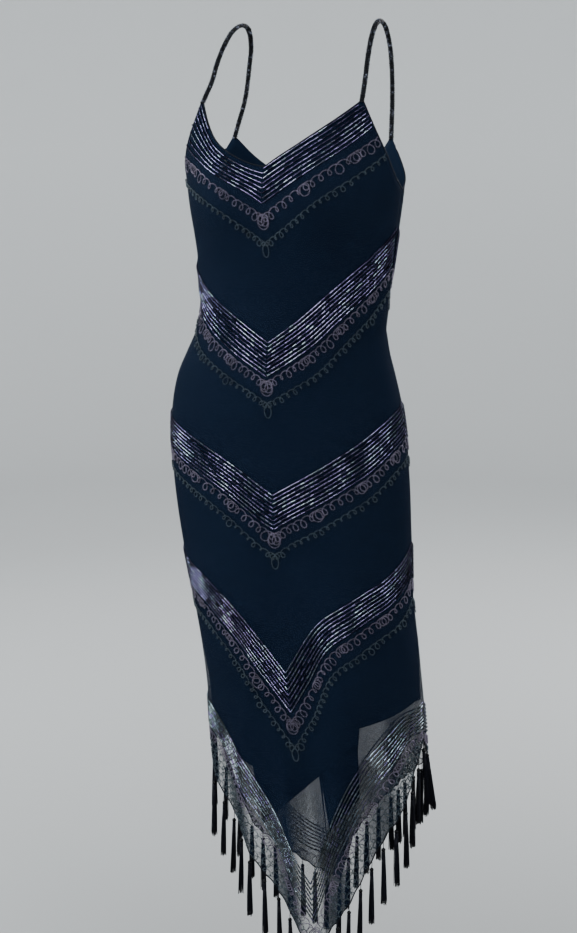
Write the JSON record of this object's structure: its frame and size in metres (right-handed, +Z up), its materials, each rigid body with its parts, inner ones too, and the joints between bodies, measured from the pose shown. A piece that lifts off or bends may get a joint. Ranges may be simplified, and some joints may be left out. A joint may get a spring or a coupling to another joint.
{
  "type": "flapper dress",
  "caption": "Sleeveless slip dress in beaded net over a dark lining, with shoulder straps, chevron bead bands and a pointed hem hung with tassels.",
  "frame": {"origin": "midway between the two places where the straps rest on the shoulders", "axes": "+Z up, -Y the front of the dress, +X the wearer's left"},
  "size_m": [0.3838, 0.2443, 1.3822],
  "materials": {
    "beaded_net": "fine dark net, sheer over the skirt",
    "lining_cloth": "matt navy black crepe",
    "glass_beads": "iridescent dark glass",
    "tassel_threads": "black rayon thread"
  },
  "bodies": {
    "root": {"front_net": "beaded_net", "back_net": "beaded_net", "front_lining": "lining_cloth", "back_lining": "lining_cloth", "left_strap": "glass_beads", "right_strap": "glass_beads", "left_side_tassel": "tassel_threads", "right_side_tassel": "tassel_threads", "front_tassel_01": "tassel_threads", "front_tassel_02": "tassel_threads", "front_tassel_03": "tassel_threads", "front_tassel_04": "tassel_threads", "front_tassel_05": "tassel_threads", "front_tassel_06": "tassel_threads", "front_tassel_07": "tassel_threads", "front_tassel_08": "tassel_threads", "front_tassel_09": "tassel_threads", "front_tassel_10": "tassel_threads", "front_tassel_11": "tassel_threads", "front_tassel_12": "tassel_threads", "front_tassel_13": "tassel_threads", "front_tassel_14": "tassel_threads", "front_tassel_15": "tassel_threads", "front_tassel_16": "tassel_threads", "front_tassel_17": "tassel_threads", "front_tassel_18": "tassel_threads", "front_tassel_19": "tassel_threads", "front_tassel_20": "tassel_threads", "front_tassel_21": "tassel_threads", "back_tassel_01": "tassel_threads", "back_tassel_02": "tassel_threads", "back_tassel_03": "tassel_threads", "back_tassel_04": "tassel_threads", "back_tassel_05": "tassel_threads", "back_tassel_06": "tassel_threads", "back_tassel_07": "tassel_threads", "back_tassel_08": "tassel_threads", "back_tassel_09": "tassel_threads", "back_tassel_10": "tassel_threads", "back_tassel_11": "tassel_threads", "back_tassel_12": "tassel_threads", "back_tassel_13": "tassel_threads", "back_tassel_14": "tassel_threads", "back_tassel_15": "tassel_threads", "back_tassel_16": "tassel_threads", "back_tassel_17": "tassel_threads", "back_tassel_18": "tassel_threads", "back_tassel_19": "tassel_threads", "back_tassel_20": "tassel_threads", "back_tassel_21": "tassel_threads"}
  },
  "joints": []
}
